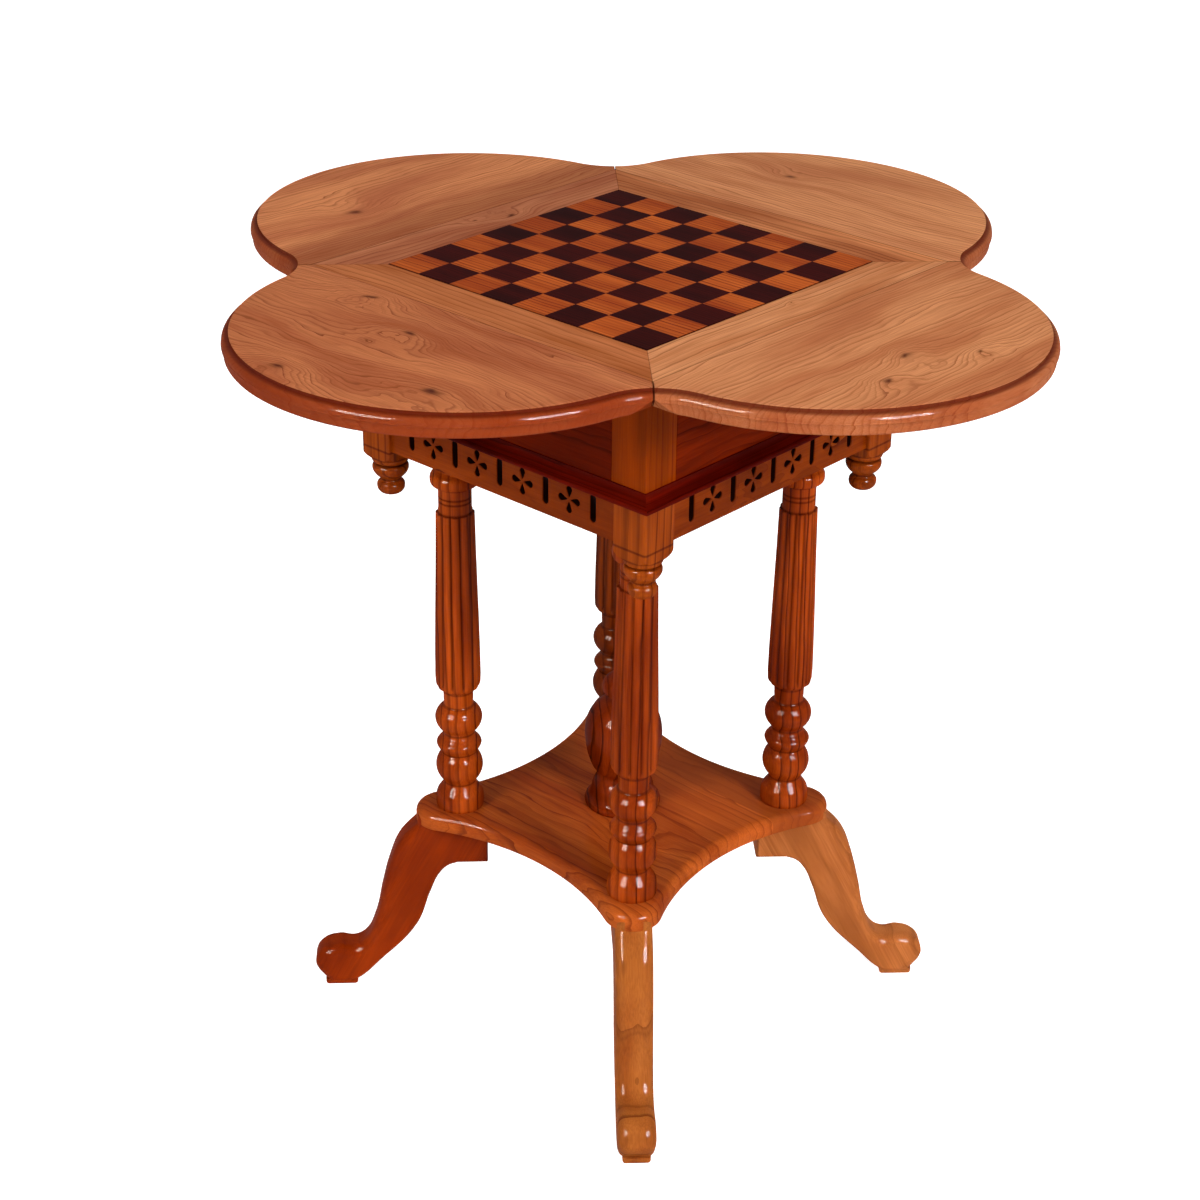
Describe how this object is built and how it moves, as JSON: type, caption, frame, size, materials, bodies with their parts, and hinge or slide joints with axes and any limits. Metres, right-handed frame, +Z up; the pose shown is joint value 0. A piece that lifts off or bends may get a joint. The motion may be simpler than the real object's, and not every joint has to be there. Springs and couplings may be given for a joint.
{
  "type": "drop-leaf chess table",
  "caption": "Drop-leaf chess table with an inlaid board, lobed leaves, pierced frieze, reeded columns, a shelf with a finial and scroll legs.",
  "frame": {"origin": "on the floor, under the centre of the table", "axes": "+Z up; +X right and -Y front, square to the board's sides; the legs run out along the diagonals"},
  "size_m": [0.817, 0.817, 0.756],
  "materials": {
    "dark_squares": "lacquered, very dark brown",
    "light_squares": "lacquered red-brown with darker stripes",
    "board_core": "plain, hidden",
    "border": "glossy lacquer, orange-brown",
    "leaves": "glossy lacquer, orange-brown figured wood",
    "hinges": "polished",
    "lopers": "waxed",
    "box": "glossy lacquer, red-brown",
    "posts": "glossy lacquer, red-brown",
    "cove": "glossy lacquer, dark red-brown",
    "frieze": "satin lacquer, dark red-brown",
    "pendants": "glossy lacquer, dark red-brown",
    "columns": "glossy lacquer, red-brown",
    "shelf": "glossy lacquer, red-brown planks",
    "finial": "glossy lacquer, red-brown",
    "legs": "glossy lacquer, red-brown"
  },
  "bodies": {
    "base": {"dark_squares": "dark_squares", "light_squares": "light_squares", "board_core": "board_core", "bottom_board": "box", "shelf": "shelf", "shelf_finial": "finial", "fixed_hinge_plates": "hinges", "keepers": "lopers", "border_right": "border", "border_back": "border", "border_left": "border", "border_front": "border", "box_side_right": "box", "box_side_back": "box", "box_side_left": "box", "box_side_front": "box", "cove_rail_right": "cove", "cove_rail_back": "cove", "cove_rail_left": "cove", "cove_rail_front": "cove", "frieze_right": "frieze", "frieze_back": "frieze", "frieze_left": "frieze", "frieze_front": "frieze", "corner_post_back_right": "posts", "corner_post_back_left": "posts", "corner_post_front_left": "posts", "corner_post_front_right": "posts", "corner_block_back_right": "pendants", "corner_block_back_left": "pendants", "corner_block_front_left": "pendants", "corner_block_front_right": "pendants", "column_back_right": "columns", "column_back_left": "columns", "column_front_left": "columns", "column_front_right": "columns", "leg_back_right": "legs", "leg_back_left": "legs", "leg_front_left": "legs", "leg_front_right": "legs"},
    "leaf_right": {"leaf_right": "leaves", "leaf_hinge_plates_right": "hinges"},
    "loper_right": {"loper_right": "lopers"},
    "leaf_back": {"leaf_back": "leaves", "leaf_hinge_plates_back": "hinges"},
    "loper_back": {"loper_back": "lopers"},
    "leaf_left": {"leaf_left": "leaves", "leaf_hinge_plates_left": "hinges"},
    "loper_left": {"loper_left": "lopers"},
    "leaf_front": {"leaf_front": "leaves", "leaf_hinge_plates_front": "hinges"},
    "loper_front": {"loper_front": "lopers"}
  },
  "joints": [
    {"name": "leaf_right_hinge", "type": "hinge", "parent": "base", "child": "leaf_right", "pos_m": [0.2035, 0, 0.7304], "axis": [0, 1, 0], "range_deg": [0, 90]},
    {"name": "leaf_back_hinge", "type": "hinge", "parent": "base", "child": "leaf_back", "pos_m": [0, 0.2035, 0.7304], "axis": [-1, 0, 0], "range_deg": [0, 90]},
    {"name": "leaf_left_hinge", "type": "hinge", "parent": "base", "child": "leaf_left", "pos_m": [-0.2035, 0, 0.7304], "axis": [0, -1, 0], "range_deg": [0, 90]},
    {"name": "leaf_front_hinge", "type": "hinge", "parent": "base", "child": "leaf_front", "pos_m": [0, -0.2035, 0.7304], "axis": [1, 0, 0], "range_deg": [0, 90]},
    {"name": "loper_right_slide", "type": "slide", "parent": "base", "child": "loper_right", "axis": [-1, 0, 0], "range_m": [-0.105, 0]},
    {"name": "loper_back_slide", "type": "slide", "parent": "base", "child": "loper_back", "axis": [0, -1, 0], "range_m": [-0.105, 0]},
    {"name": "loper_left_slide", "type": "slide", "parent": "base", "child": "loper_left", "axis": [1, 0, 0], "range_m": [-0.105, 0]},
    {"name": "loper_front_slide", "type": "slide", "parent": "base", "child": "loper_front", "axis": [0, 1, 0], "range_m": [-0.105, 0]}
  ]
}
